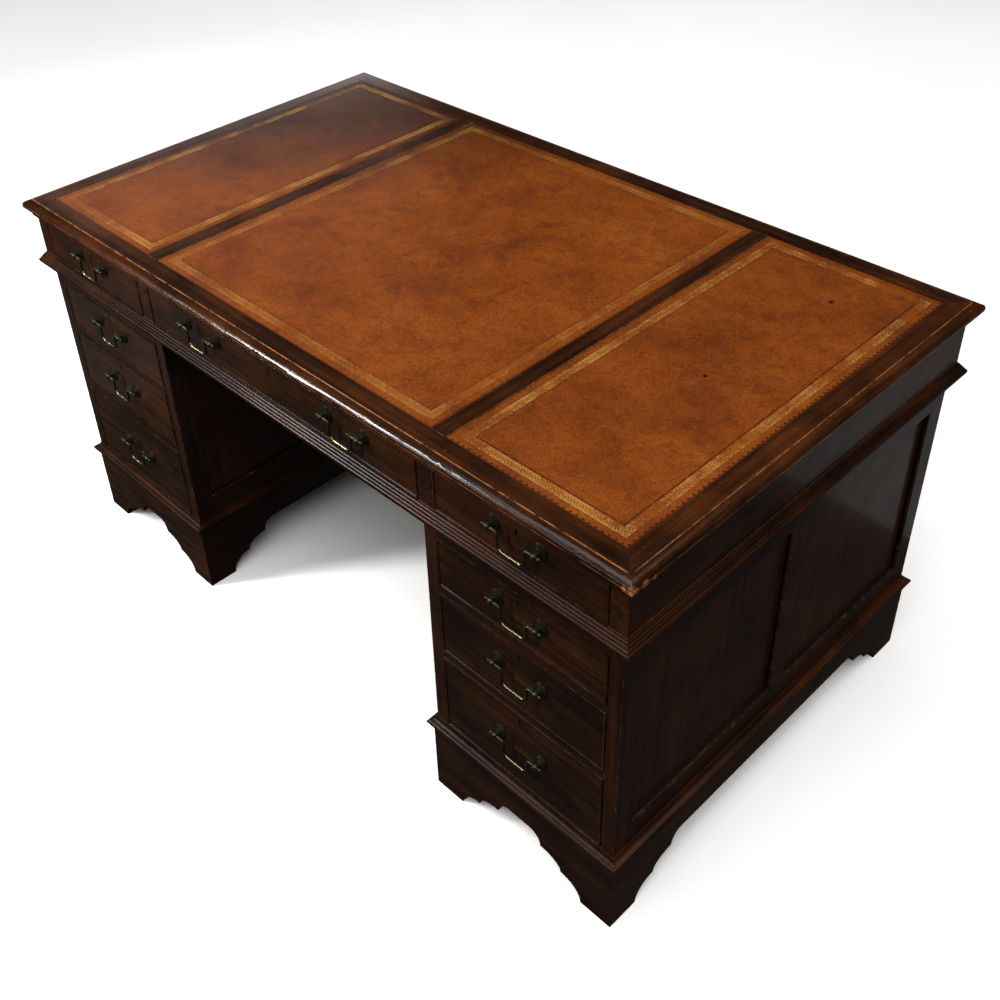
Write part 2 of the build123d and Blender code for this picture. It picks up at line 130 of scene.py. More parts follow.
# Dark teeth along a hide's edge: spacing, distance in, and where one starts and stops fading
TOOTH_PITCH = 11.0 * MM
TOOTH_IN = 3.0 * MM
TOOTH_INNER = 1.9 * MM
TOOTH_OUTER = 3.2 * MM

# Reveals of the side frames, which take a painted shade, lie at least this far from the pedestal's front and
# back, and face along it
REVEAL_CLEAR = 20.0 * MM
FACES_OUT = 0.5

# A board whose front is this near the pedestal's front is show wood
SHOW_DEPTH = 5.0 * MM

# A bail is handled from this share of its drop downward, and fully handled this much further
HANDLED_FROM = 0.45
HANDLED_OVER = 0.4

# Marks of use: place and radius
INK_SPOTS = [((0.583, 0.275, TOP_Z), 6.5 * MM), ((0.560, -0.026, TOP_Z), 5.0 * MM)]
SMUDGES = [
    ((0.403, -0.021, TOP_Z), 45 * MM),
    ((0.632, 0.009, TOP_Z), 35 * MM),
    ((0.483, 0.060, TOP_Z), 60 * MM),
    ((0.020, -0.120, TOP_Z), 70 * MM),
    ((-0.180, 0.210, TOP_Z), 80 * MM),
    ((0.250, -0.330, TOP_Z), 40 * MM),
    ((-0.560, -0.060, TOP_Z), 75 * MM),
]

# The top's front right corner, and the places about it where the film has gone
CORNER = Vector((cad_high.x, cad_low.y, cad_high.z))
RAW_CORNER = [
    (CORNER + Vector((-2, 3, -14)) * MM, 10 * MM),
    (CORNER + Vector((2, 25, -14)) * MM, 8 * MM),
    (CORNER + Vector((2, 43, -14)) * MM, 5 * MM),
    (CORNER + Vector((-14, -1, -12)) * MM, 6 * MM),
]

# Painted highlights of the top: pale hair lines at the fillet inside its thumb moulding and at the moulding's
# lip
THUMB = 16 * MM
FILLET_X = cad_high.x - THUMB
FILLET_Y = cad_high.y - THUMB
LIP_Z = TOP_Z - 12 * MM
PAINTED_HIGHLIGHT_LINE = 0.6 * MM

# How much gold leaf is left on each hide, and how dark the teeth along its edge are
LEAF_LEFT = {"leather_left": 0.8, "leather_centre": 0.42, "leather_right": 0.8}
TEETH_LEFT = {"leather_left": 0.25, "leather_centre": 0.35, "leather_right": 0.95}
FAR_TEETH = 0.3

# A ragged place: how far its noise pulls the edge in, and where it starts and stops fading, in radii
RAGGED = 1.6
RAGGED_INNER = -0.35
RAGGED_OUTER = 0.25

# Half the floor's width in metres, and the width of the camera's sensor in millimetres
FLOOR_HALF = 8.0
SENSOR_MM = 36.0


# ------------------------------------------------------------------ colours and nodes
def colour(hex_code):
    """An sRGB hex value as linear red, green, blue and alpha."""
    parts = [int(hex_code[i : i + 2], 16) / 255 for i in (0, 2, 4)]
    linear = [p / 12.92 if p <= 0.04045 else ((p + 0.055) / 1.055) ** 2.4 for p in parts]
    return (*linear, 1.0)


def add(tree, kind, settings=None, inputs=None, stops=(), out=0):
    """A new node's output: its properties, its inputs (a value or a linked output), a ramp's stops."""
    made = tree.nodes.new(kind)
    for key, value in (settings or {}).items():
        setattr(made, key, value)
    for key, value in (inputs or {}).items():
        if isinstance(value, bpy.types.NodeSocket):
            tree.links.new(value, made.inputs[key])
        else:
            made.inputs[key].default_value = value
    for n, (place, shade) in enumerate(stops):
        ramp = made.color_ramp.elements
        stop = ramp[n] if n < len(ramp) else ramp.new(place)
        stop.position, stop.color = place, shade
    return made.outputs[out] if made.outputs else None


def new_material(name):
    """A node material, its tree and its shader, wired to the output."""
    material = bpy.data.materials.new(name)
    material.use_nodes = True
    tree = material.node_tree
    tree.nodes.clear()
    shader = tree.nodes.new("ShaderNodeBsdfPrincipled")
    add(tree, "ShaderNodeOutputMaterial", inputs={"Surface": shader.outputs["BSDF"]})
    return material, tree, shader


def set_inputs(tree, shader, values):
    """Sets or links the shader's inputs by name."""
    for key, value in values.items():
        if isinstance(value, bpy.types.NodeSocket):
            tree.links.new(value, shader.inputs[key])
        else:
            shader.inputs[key].default_value = value


def per_mm(*sizes):
    """Pattern scale for features that many millimetres across."""
    scales = [1 / (size * MM) for size in sizes]
    return scales[0] if len(scales) == 1 else scales


def grey(value):
    """The same amount of red, green and blue."""
    return (value, value, value, 1.0)


def near_places(tree, place, wobble, places):
    """One inside the listed spheres and nought outside, with an edge that wobble makes ragged."""
    inside = None
    for centre, radius in places:
        away = add(
            tree, "ShaderNodeVectorMath", {"operation": "DISTANCE"}, {0: place, 1: centre}, out="Value"
        )
        ragged = add(
            tree, "ShaderNodeMath", {"operation": "MULTIPLY_ADD"}, {0: wobble, 1: -RAGGED * radius, 2: away}
        )
        spot = add(
            tree,
            "ShaderNodeMapRange",
            inputs={
                "Value": ragged,
                "From Min": RAGGED_INNER * radius,
                "From Max": RAGGED_OUTER * radius,
                "To Min": 1.0,
                "To Max": 0.0,
            },
        )
        inside = spot if inside is None else add(
            tree, "ShaderNodeMath", {"operation": "MAXIMUM"}, {0: inside, 1: spot}
        )
    return inside


# ------------------------------------------------------------------ materials
def mahogany(name, deep, body, glow, bare_and_highlight, wear=0.5, dents=0.0, polish=0.25, gloss=0.25, flame=0.0, raw=()):
    """Mahogany under old French polish: dark ribbons and pores along the grain, gone pale on the arrises.

    wear is how much of the arrises is rubbed, dents how deep the knocks are in millimetres, polish
    the roughness of the film, gloss its strength, flame the amount of crotch figure in the middle
    of a board, and raw the places where the film has gone altogether."""
    material, tree, shader = new_material(name)
    grain = add(tree, "ShaderNodeAttribute", {"attribute_name": "grain"}, out="Vector")
    arris = add(tree, "ShaderNodeAttribute", {"attribute_name": "arris"}, out="Fac")
    tone = add(tree, "ShaderNodeAttribute", {"attribute_name": "tone"}, out="Fac")
    place = add(tree, "ShaderNodeTexCoord", out="Object")

    # Ribbon figure: wavering stripes 14 mm wide, half a metre long
    ribbon_place = add(tree, "ShaderNodeMapping", inputs={"Vector": grain, "Scale": per_mm(420, 14, 14)})
    ribbon = add(
        tree,
        "ShaderNodeTexNoise",
        inputs={"Vector": ribbon_place, "Scale": 1.0, "Detail": 5.0, "Roughness": 0.62, "Distortion": 0.7},
    )
    # Pores: dark dashes along the grain, drawn 1.6 mm wide so that they show
    pore_place = add(tree, "ShaderNodeMapping", inputs={"Vector": grain, "Scale": per_mm(26, 1.6, 1.6)})
    pores = add(
        tree,
        "ShaderNodeTexNoise",
        inputs={"Vector": pore_place, "Scale": 1.0, "Detail": 2.0, "Roughness": 0.5},
    )
    # Smoke and wax: broad clouds 150 mm across where the polish has built up or worn thin
    clouds = add(
        tree,
        "ShaderNodeTexNoise",
        inputs={"Vector": place, "Scale": per_mm(150), "Detail": 4.0, "Roughness": 0.6},
    )
    toned = add(
        tree,
        "ShaderNodeMapRange",
        inputs={"Value": tone, "From Min": 0.0, "From Max": 1.0, "To Min": -0.10, "To Max": 0.10},
    )
    swirl = add(
        tree,
        "ShaderNodeMapRange",
        inputs={"Value": clouds, "From Min": 0.40, "From Max": 0.70, "To Min": -0.3 * flame, "To Max": flame},
    )
    figure = add(tree, "ShaderNodeMath", {"operation": "ADD"}, {0: ribbon, 1: toned})
    flamed = add(tree, "ShaderNodeMath", {"operation": "ADD"}, {0: figure, 1: swirl})
    figured = add(
        tree,
        "ShaderNodeValToRGB",
        inputs={"Fac": flamed},
        stops=[(0.30, colour(deep)), (0.50, colour(body)), (0.72, colour(glow))],
    )
    pore_dark = add(
        tree,
        "ShaderNodeMapRange",
        inputs={"Value": pores, "From Min": 0.28, "From Max": 0.50, "To Min": 0.68, "To Max": 1.0},
    )
    pored = add(
        tree,
        "ShaderNodeMix",
        {"data_type": "RGBA", "blend_type": "MULTIPLY"},
        {0: 1.0, 6: figured, 7: pore_dark},
        out=2,
    )
    cloud_dark = add(
        tree,
        "ShaderNodeMapRange",
        inputs={"Value": clouds, "From Min": 0.35, "From Max": 0.60, "To Min": 0.55, "To Max": 1.0},
    )
    darkened_by_cloud_and_painted_shade = add(
        tree,
        "ShaderNodeMix",
        {"data_type": "RGBA", "blend_type": "MULTIPLY"},
        {0: 1.0, 6: pored, 7: cloud_dark},
        out=2,
    )
    # Rubbed arrises: patches 18 mm long where the film has gone and the bare wood shows
    rub_and_highlight_noise = add(
        tree,
        "ShaderNodeTexNoise",
        inputs={"Vector": place, "Scale": per_mm(18), "Detail": 6.0, "Roughness": 0.7},
    )
    rubbed = add(
        tree,
        "ShaderNodeMapRange",
        inputs={"Value": rub_and_highlight_noise, "From Min": 0.62 - 0.25 * wear, "From Max": 0.80 - 0.25 * wear},
    )
    wear_and_highlight = add(tree, "ShaderNodeMath", {"operation": "MULTIPLY"}, {0: rubbed, 1: arris})
    if raw:
        # Bare wood in streaks along the grain about the raw places
        streaked = add(
            tree, "ShaderNodeMapRange", inputs={"Value": pores, "From Min": 0.40, "From Max": 0.54}
        )
        zone = near_places(tree, place, rub_and_highlight_noise, raw)
        bared = add(tree, "ShaderNodeMath", {"operation": "MULTIPLY"}, {0: zone, 1: streaked})
        # Pale chips 1 mm across, few and scattered
        crumb = add(
            tree,
            "ShaderNodeTexNoise",
            inputs={"Vector": place, "Scale": per_mm(4), "Detail": 2.0, "Roughness": 0.6},
        )
        chipped = add(
            tree,
            "ShaderNodeMapRange",
            inputs={"Value": crumb, "From Min": 0.74, "From Max": 0.77, "To Min": 0.0, "To Max": 0.8},
        )
        # Painted highlights: pale hair lines in the bare wood's colour where the flat meets its fillet, and
        # along the lip of the moulding
        folded = add(tree, "ShaderNodeVectorMath", {"operation": "ABSOLUTE"}, {0: place})
        past = add(
            tree,
            "ShaderNodeVectorMath",
            {"operation": "SUBTRACT"},
            {0: folded, 1: (FILLET_X, FILLET_Y, LIP_Z)},
        )
        past_x, past_y, lip = (
            add(tree, "ShaderNodeSeparateXYZ", inputs={"Vector": past}, out=axis) for axis in ("X", "Y", "Z")
        )
        fillet = add(tree, "ShaderNodeMath", {"operation": "MAXIMUM"}, {0: past_x, 1: past_y})
        thin = add(
            tree, "ShaderNodeMapRange", inputs={"Value": rub_and_highlight_noise, "From Min": 0.38, "From Max": 0.56}
        )
        patches = [bared, chipped]
        for from_line in (fillet, lip):
            off_line = add(tree, "ShaderNodeMath", {"operation": "ABSOLUTE"}, {0: from_line})
            line = add(
                tree,
                "ShaderNodeMapRange",
                inputs={
                    "Value": off_line,
                    "From Min": 0.3 * PAINTED_HIGHLIGHT_LINE,
                    "From Max": PAINTED_HIGHLIGHT_LINE,
                    "To Min": 0.75,
                    "To Max": 0.0,
                },
            )
            patches.append(add(tree, "ShaderNodeMath", {"operation": "MULTIPLY"}, {0: line, 1: thin}))
        for patch in patches:
            wear_and_highlight = add(tree, "ShaderNodeMath", {"operation": "MAXIMUM"}, {0: wear_and_highlight, 1: patch})
    base = add(tree, "ShaderNodeMix", {"data_type": "RGBA"}, {0: wear_and_highlight, 6: darkened_by_cloud_and_painted_shade, 7: colour(bare_and_highlight)}, out=2)
    smear = add(
        tree,
        "ShaderNodeTexNoise",
        inputs={"Vector": place, "Scale": per_mm(60), "Detail": 4.0, "Roughness": 0.6},
    )
    film = add(
        tree,
        "ShaderNodeMapRange",
        inputs={"Value": smear, "From Min": 0.3, "From Max": 0.7, "To Min": polish, "To Max": polish + 0.14},
    )
    roughness = add(
        tree, "ShaderNodeMath", {"operation": "MULTIPLY_ADD", "use_clamp": True}, {0: wear_and_highlight, 1: 0.25, 2: film}
    )
    pore_bump = add(tree, "ShaderNodeBump", inputs={"Strength": 0.35, "Distance": 0.06 * MM, "Height": pores})
    normal = pore_bump
    if dents:
        # Knocks and crazing: shallow hollows 6 mm across
        knocks = add(
            tree,
            "ShaderNodeTexNoise",
            inputs={"Vector": place, "Scale": per_mm(6), "Detail": 3.0, "Roughness": 0.65, "Distortion": 0.4},
        )
        moulded = add(tree, "ShaderNodeAttribute", {"attribute_name": "moulded"}, out="Fac")
        normal = add(
            tree,
            "ShaderNodeBump",
            inputs={"Strength": moulded, "Distance": dents * MM, "Height": knocks, "Normal": pore_bump},
        )
    set_inputs(
        tree,
        shader,
        {
            "Base Color": base,
            "Roughness": roughness,
            "IOR": 1.5,
            "Specular IOR Level": gloss,
            "Coat Weight": 1.2 * gloss,
            "Coat Roughness": 0.08,
            "Coat IOR": 1.5,
            "Normal": normal,
        },
    )
    return material


def planed_wood(name, early, late, dirt):
    """Planed and never polished wood: pale, matt, with fine straight grain gone grey with dust."""
    material, tree, shader = new_material(name)
    grain = add(tree, "ShaderNodeAttribute", {"attribute_name": "grain"}, out="Vector")
    place = add(tree, "ShaderNodeTexCoord", out="Object")
    ring_place = add(tree, "ShaderNodeMapping", inputs={"Vector": grain, "Scale": per_mm(300, 5, 9)})
    rings = add(
        tree,
        "ShaderNodeTexNoise",
        inputs={"Vector": ring_place, "Scale": 1.0, "Detail": 4.0, "Roughness": 0.6, "Distortion": 0.5},
    )
    grained = add(
        tree,
        "ShaderNodeValToRGB",
        inputs={"Fac": rings},
        stops=[(0.35, colour(late)), (0.60, colour(early))],
    )
    dust = add(
        tree,
        "ShaderNodeTexNoise",
        inputs={"Vector": place, "Scale": per_mm(90), "Detail": 5.0, "Roughness": 0.6},
    )
    dusty = add(
        tree,
        "ShaderNodeMapRange",
        inputs={"Value": dust, "From Min": 0.45, "From Max": 0.80, "To Min": 0.0, "To Max": 0.45},
    )
    base = add(tree, "ShaderNodeMix", {"data_type": "RGBA"}, {0: dusty, 6: grained, 7: colour(dirt)}, out=2)
    bump = add(tree, "ShaderNodeBump", inputs={"Strength": 0.4, "Distance": 0.15 * MM, "Height": rings})
    set_inputs(tree, shader, {"Base Color": base, "Roughness": 0.72, "IOR": 1.45, "Normal": bump})
    return material


def tooled_hide(name):
    """Vegetable tanned hide, waxed and mottled with age, with a worn gold band, a blind line and painted
    shade toward the back left.
    """
    material, tree, shader = new_material(name)
    place = add(tree, "ShaderNodeTexCoord", out="Object")
    leaf = add(tree, "ShaderNodeAttribute", {"attribute_name": "leaf"}, out="Fac")
    toothed = add(tree, "ShaderNodeAttribute", {"attribute_name": "toothed"}, out="Fac")
    tooling = add(tree, "ShaderNodeUVMap", {"uv_map": "tooling"})
    along, inward = (
        add(tree, "ShaderNodeSeparateXYZ", inputs={"Vector": tooling}, out=axis) for axis in ("X", "Y")
    )

    # Mottle: tan and brown clouds 120 mm across, broken by blotches of 26 mm and freckles of 3 mm
    clouds = add(
        tree,
        "ShaderNodeTexNoise",
        inputs={"Vector": place, "Scale": per_mm(120), "Detail": 6.0, "Roughness": 0.62, "Distortion": 0.3},
    )
    tan = add(
        tree,
        "ShaderNodeValToRGB",
        inputs={"Fac": clouds},
        stops=[
            (0.20, colour("3E1A08")),
            (0.34, colour("54250A")),
            (0.48, colour("632E0A")),
            (0.66, colour("6E370E")),
        ],
    )
    blotch = add(
        tree,
        "ShaderNodeTexNoise",
        inputs={"Vector": place, "Scale": per_mm(26), "Detail": 8.0, "Roughness": 0.75, "Distortion": 0.6},
    )
    blotched = add(
        tree,
        "ShaderNodeMapRange",
        inputs={"Value": blotch, "From Min": 0.48, "From Max": 0.76, "To Min": 0.0, "To Max": 0.75},
    )
    mottled = add(
        tree, "ShaderNodeMix", {"data_type": "RGBA"}, {0: blotched, 6: tan, 7: colour("36170A")}, out=2
    )
    freckle = add(
        tree,
        "ShaderNodeTexNoise",
        inputs={"Vector": place, "Scale": per_mm(3.2), "Detail": 5.0, "Roughness": 0.75},
    )
    freckled = add(
        tree,
        "ShaderNodeMapRange",
        inputs={"Value": freckle, "From Min": 0.50, "From Max": 0.62, "To Min": 0.0, "To Max": 0.62},
    )
    speckled = add(
        tree, "ShaderNodeMix", {"data_type": "RGBA"}, {0: freckled, 6: mottled, 7: colour("3A1B08")}, out=2
    )
    bleached = add(
        tree,
        "ShaderNodeMapRange",
        inputs={"Value": freckle, "From Min": 0.26, "From Max": 0.44, "To Min": 0.35, "To Max": 0.0},
    )
    lit = add(
        tree, "ShaderNodeMix", {"data_type": "RGBA"}, {0: bleached, 6: speckled, 7: colour("96561A")}, out=2
    )
    # Hard wear: brown smudges, flecks where the skin is broken, and two ink spots
    smudged = near_places(tree, place, blotch, SMUDGES)
    fleck = add(
        tree,
        "ShaderNodeTexNoise",
        inputs={"Vector": place, "Scale": per_mm(9), "Detail": 5.0, "Roughness": 0.75},
    )
    broken = add(tree, "ShaderNodeMapRange", inputs={"Value": fleck, "From Min": 0.56, "From Max": 0.66})
    smudge_deep = add(
        tree,
        "ShaderNodeMapRange",
        inputs={"Value": broken, "From Min": 0.0, "From Max": 1.0, "To Min": 0.14, "To Max": 0.85},
    )
    smudge = add(tree, "ShaderNodeMath", {"operation": "MULTIPLY"}, {0: smudged, 1: smudge_deep})
    pitted = add(
        tree,
        "ShaderNodeMapRange",
        inputs={"Value": fleck, "From Min": 0.62, "From Max": 0.70, "To Min": 0.0, "To Max": 0.6},
    )
    smudge = add(tree, "ShaderNodeMath", {"operation": "MAXIMUM"}, {0: smudge, 1: pitted})
    dirtied = add(
        tree, "ShaderNodeMix", {"data_type": "RGBA"}, {0: smudge, 6: lit, 7: colour("2A1208")}, out=2
    )
    # Painted shade: darker toward the back left, where the light falls off
    toward_back_left = add(
        tree, "ShaderNodeVectorMath", {"operation": "DOT_PRODUCT"}, {0: place, 1: (-0.6, 0.5, 0)}, out="Value"
    )
    painted_shade_toward_back_left = add(
        tree,
        "ShaderNodeMapRange",
        inputs={"Value": toward_back_left, "From Min": 0.18, "From Max": 0.46, "To Min": 1.0, "To Max": 0.26},
    )
    darkened_by_cloud_and_painted_shade = add(
        tree,
        "ShaderNodeMix",
        {"data_type": "RGBA", "blend_type": "MULTIPLY"},
        {0: 1.0, 6: dirtied, 7: painted_shade_toward_back_left},
        out=2,
    )
    inked = near_places(tree, place, fleck, INK_SPOTS)
    spotted = add(
        tree, "ShaderNodeMix", {"data_type": "RGBA"}, {0: inked, 6: darkened_by_cloud_and_painted_shade, 7: colour("100A12")}, out=2
    )
    # Grain of the hide: cells 2.2 mm across
    cells = add(tree, "ShaderNodeTexVoronoi", inputs={"Vector": place, "Scale": per_mm(2.2)})

    # Gold roll: two fillets with a chain of loops between them
    band_middle = (BAND_OUTER + BAND_INNER) / 2
    wave_turn = add(
        tree, "ShaderNodeMath", {"operation": "MULTIPLY"}, {0: along, 1: 2 * math.pi / ROLL_REPEAT}
    )
    wave = add(tree, "ShaderNodeMath", {"operation": "SINE"}, {0: wave_turn})
    from_middle = add(tree, "ShaderNodeMath", {"operation": "SUBTRACT"}, {0: inward, 1: band_middle})
    lines = []
    for side in (-1, 1):
        crest = add(tree, "ShaderNodeMath", {"operation": "MULTIPLY"}, {0: wave, 1: side * ROLL_CREST})
        gap = add(tree, "ShaderNodeMath", {"operation": "SUBTRACT"}, {0: from_middle, 1: crest})
        lines.append(add(tree, "ShaderNodeMath", {"operation": "ABSOLUTE"}, {0: gap}))
        fillet = add(
            tree, "ShaderNodeMath", {"operation": "SUBTRACT"}, {0: from_middle, 1: side * ROLL_FILLET}
        )
        lines.append(add(tree, "ShaderNodeMath", {"operation": "ABSOLUTE"}, {0: fillet}))
    nearest = lines[0]
    for line in lines[1:]:
        nearest = add(tree, "ShaderNodeMath", {"operation": "MINIMUM"}, {0: nearest, 1: line})
    stamped = add(
        tree,
        "ShaderNodeMapRange",
        inputs={
            "Value": nearest,
            "From Min": ROLL_LINE_INNER,
            "From Max": ROLL_LINE_OUTER,
            "To Min": 1.0,
            "To Max": 0.0,
        },
    )
    # The leaf is left in crumbs of 3 mm, with bare lengths of 70 mm
    crumb = add(
        tree,
        "ShaderNodeTexNoise",
        inputs={"Vector": place, "Scale": per_mm(3), "Detail": 4.0, "Roughness": 0.75},
    )
    length = add(
        tree,
        "ShaderNodeTexNoise",
        inputs={"Vector": place, "Scale": per_mm(70), "Detail": 3.0, "Roughness": 0.6},
    )
    both = add(tree, "ShaderNodeMath", {"operation": "MULTIPLY_ADD"}, {0: length, 1: 0.9, 2: crumb})
    leaf_kept = add(tree, "ShaderNodeMapRange", inputs={"Value": both, "From Min": 0.92, "From Max": 1.05})
    leaf_worn = add(tree, "ShaderNodeMath", {"operation": "MULTIPLY"}, {0: leaf_kept, 1: leaf})
    gold = add(tree, "ShaderNodeMath", {"operation": "MULTIPLY"}, {0: stamped, 1: leaf_worn})
    # A size of dull yellow lies under the leaf over the whole band
    band_far = add(tree, "ShaderNodeMath", {"operation": "ABSOLUTE"}, {0: from_middle})
    sized = add(
        tree,
        "ShaderNodeMapRange",
        inputs={
            "Value": band_far,
            "From Min": SIZE_INNER,
            "From Max": SIZE_OUTER,
            "To Min": 0.05,
            "To Max": 0.0,
        },
    )
    under = add(
        tree, "ShaderNodeMix", {"data_type": "RGBA"}, {0: sized, 6: spotted, 7: colour("A07434")}, out=2
    )
    gilded = add(
        tree, "ShaderNodeMix", {"data_type": "RGBA"}, {0: gold, 6: under, 7: colour("A6803F")}, out=2
    )

    # Blind tooling: a dashed dark line inside the band, and dark teeth along the edge
    line_gap = add(tree, "ShaderNodeMath", {"operation": "SUBTRACT"}, {0: inward, 1: BLIND_LINE})
    line_far = add(tree, "ShaderNodeMath", {"operation": "ABSOLUTE"}, {0: line_gap})
    blind_line = add(
        tree,
        "ShaderNodeMapRange",
        inputs={"Value": line_far, "From Min": 0.6 * MM, "From Max": 1.4 * MM, "To Min": 1.0, "To Max": 0.0},
    )
    dash = add(
        tree,
        "ShaderNodeMapRange",
        inputs={"Value": fleck, "From Min": 0.36, "From Max": 0.52, "To Min": 0.25},
    )
    line_kept = add(tree, "ShaderNodeMath", {"operation": "MULTIPLY"}, {0: dash, 1: toothed})
    blind = add(tree, "ShaderNodeMath", {"operation": "MULTIPLY"}, {0: blind_line, 1: line_kept})
    tooth = add(tree, "ShaderNodeMath", {"operation": "PINGPONG"}, {0: along, 1: TOOTH_PITCH / 2})
    tooth_deep = add(tree, "ShaderNodeMath", {"operation": "SUBTRACT"}, {0: inward, 1: TOOTH_IN})
    tooth_off = add(tree, "ShaderNodeMath", {"operation": "ABSOLUTE"}, {0: tooth_deep})
    tooth_edge = add(tree, "ShaderNodeMath", {"operation": "ADD"}, {0: tooth, 1: tooth_off})
    tooth_mark = add(
        tree,
        "ShaderNodeMapRange",
        inputs={
            "Value": tooth_edge,
            "From Min": TOOTH_INNER,
            "From Max": TOOTH_OUTER,
            "To Min": 1.0,
            "To Max": 0.0,
        },
    )
    teeth = add(tree, "ShaderNodeMath", {"operation": "MULTIPLY"}, {0: tooth_mark, 1: toothed})
    # The joint: the last millimetre or two beside the wood is dark
    dark_beside_wood = add(
        tree,
        "ShaderNodeMapRange",
        inputs={"Value": inward, "From Min": 0.8 * MM, "From Max": 3.0 * MM, "To Min": 0.7, "To Max": 0.0},
    )
    marks = add(tree, "ShaderNodeMath", {"operation": "MAXIMUM"}, {0: blind, 1: teeth})
    marks_and_dark_edge = add(tree, "ShaderNodeMath", {"operation": "MAXIMUM"}, {0: marks, 1: dark_beside_wood})
    base = add(
        tree, "ShaderNodeMix", {"data_type": "RGBA"}, {0: marks_and_dark_edge, 6: gilded, 7: colour("220E06")}, out=2
    )

    sheen_noise = add(
        tree,
        "ShaderNodeTexNoise",
        inputs={"Vector": place, "Scale": per_mm(70), "Detail": 4.0, "Roughness": 0.6},
    )
    roughness = add(
        tree,
        "ShaderNodeMapRange",
        inputs={"Value": sheen_noise, "From Min": 0.3, "From Max": 0.7, "To Min": 0.28, "To Max": 0.42},
    )
    cell_bump = add(
        tree,
        "ShaderNodeBump",
        inputs={"Strength": 0.5, "Distance": 0.08 * MM, "Height": cells},
    )
    creases = add(
        tree,
        "ShaderNodeBump",
        inputs={"Strength": 0.6, "Distance": 0.5 * MM, "Height": blotch, "Normal": cell_bump},
    )
    set_inputs(
        tree,
        shader,
        {
            "Base Color": base,
            "Metallic": add(tree, "ShaderNodeMath", {"operation": "MULTIPLY"}, {0: gold, 1: 0.3}),
            "Roughness": roughness,
            "IOR": 1.45,
            "Specular IOR Level": 0.14,
            "Normal": creases,
        },
    )
    return material


def aged_brass(name, bright, dull, patina, cover):
    """Cast brass gone green-black in the hollows and rubbed bright where fingers touch it.

    cover is how much of it the patina takes."""
    material, tree, shader = new_material(name)
    place = add(tree, "ShaderNodeTexCoord", out="Object")
    handled = add(tree, "ShaderNodeAttribute", {"attribute_name": "handled"}, out="Fac")
    bloom = add(
        tree,
        "ShaderNodeTexNoise",
        inputs={"Vector": place, "Scale": per_mm(5), "Detail": 6.0, "Roughness": 0.65},
    )
    film = add(
        tree,
        "ShaderNodeMapRange",
        inputs={
            "Value": bloom,
            "From Min": 0.50 - 0.3 * cover,
            "From Max": 1.0 - 0.3 * cover,
            "To Min": 1.0,
            "To Max": 0.0,
        },
    )
    touched = add(tree, "ShaderNodeMath", {"operation": "SUBTRACT", "use_clamp": True}, {0: film, 1: handled})
    metal = add(
        tree, "ShaderNodeMix", {"data_type": "RGBA"}, {0: handled, 6: colour(dull), 7: colour(bright)}, out=2
    )
    base = add(tree, "ShaderNodeMix", {"data_type": "RGBA"}, {0: touched, 6: metal, 7: colour(patina)}, out=2)
    roughness = add(
        tree,
        "ShaderNodeMapRange",
        inputs={"Value": touched, "From Min": 0.0, "From Max": 1.0, "To Min": 0.30, "To Max": 0.52},
    )
    metallic = add(
        tree,
        "ShaderNodeMapRange",
        inputs={"Value": touched, "From Min": 0.0, "From Max": 1.0, "To Min": 1.0, "To Max": 0.55},
    )
    bump = add(tree, "ShaderNodeBump", inputs={"Strength": 0.5, "Distance": 0.12 * MM, "Height": bloom})
    set_inputs(
        tree, shader, {"Base Color": base, "Roughness": roughness, "Metallic": metallic, "Normal": bump}
    )
    return material


def painted_floor(name):
    """Matt studio floor paint, off-white, with the faintest unevenness."""
    material, tree, shader = new_material(name)
    place = add(tree, "ShaderNodeTexCoord", out="Object")
    uneven = add(
        tree,
        "ShaderNodeTexNoise",
        inputs={"Vector": place, "Scale": per_mm(900), "Detail": 2.0, "Roughness": 0.5},
    )
    base = add(
        tree,
        "ShaderNodeValToRGB",
        inputs={"Fac": uneven},
        stops=[(0.3, colour("F2F1F0")), (0.7, colour("F7F6F5"))],
    )
    set_inputs(tree, shader, {"Base Color": base, "Roughness": 0.9, "IOR": 1.45})
    return material


# ------------------------------------------------------------------ pieces
def boards_of(node):
    """A CAD node's mesh, copied and welded, with each closed solid numbered in the face layer board.

    A node's solids follow one another, so a solid ends where no edge is left open."""
    mesh = bmesh.new()
    mesh.from_mesh(NODES[node].data)
    board = mesh.faces.layers.int.new("board")
    open_edges = set()
    solids = [[]]
    for face in mesh.faces:
        corners = [tuple(round(c, 6) for c in vert.co) for vert in face.verts]
        for start, end in zip(corners, corners[1:] + corners[:1]):
            if (end, start) in open_edges:
                open_edges.remove((end, start))
            elif start != end:
                open_edges.add((start, end))
        face[board] = len(solids) - 1
        solids[-1].append(face)
        if not open_edges:
            solids.append([])
    for faces in solids:
        verts = list(dict.fromkeys(vert for face in faces for vert in face.verts))
        bmesh.ops.remove_doubles(mesh, verts=verts, dist=WELD)
    bmesh.ops.dissolve_degenerate(mesh, edges=mesh.edges[:], dist=WELD)
    bmesh.ops.dissolve_limit(mesh, angle_limit=FLAT_ANGLE, verts=mesh.verts[:], edges=mesh.edges[:])
    return mesh


def soften_arrises(mesh, width, segments=2):
    """Rounds the sharp long edges to a small radius and marks the new faces in the layer arris."""
    arris = mesh.faces.layers.float.new("arris")
    sharp = [
        edge
        for edge in mesh.edges
        if edge.is_manifold
        and edge.calc_face_angle(0) > ARRIS_ANGLE
        and edge.calc_length() > SHORTEST_ARRIS * width
    ]
    made = bmesh.ops.bevel(
        mesh,
        geom=sharp,
        offset=width,
        offset_type="OFFSET",
        segments=segments,
        profile=0.5,
        affect="EDGES",
        clamp_overlap=True,
        material=-1,
    )
    for face in made["faces"]:
        face[arris] = 1.0


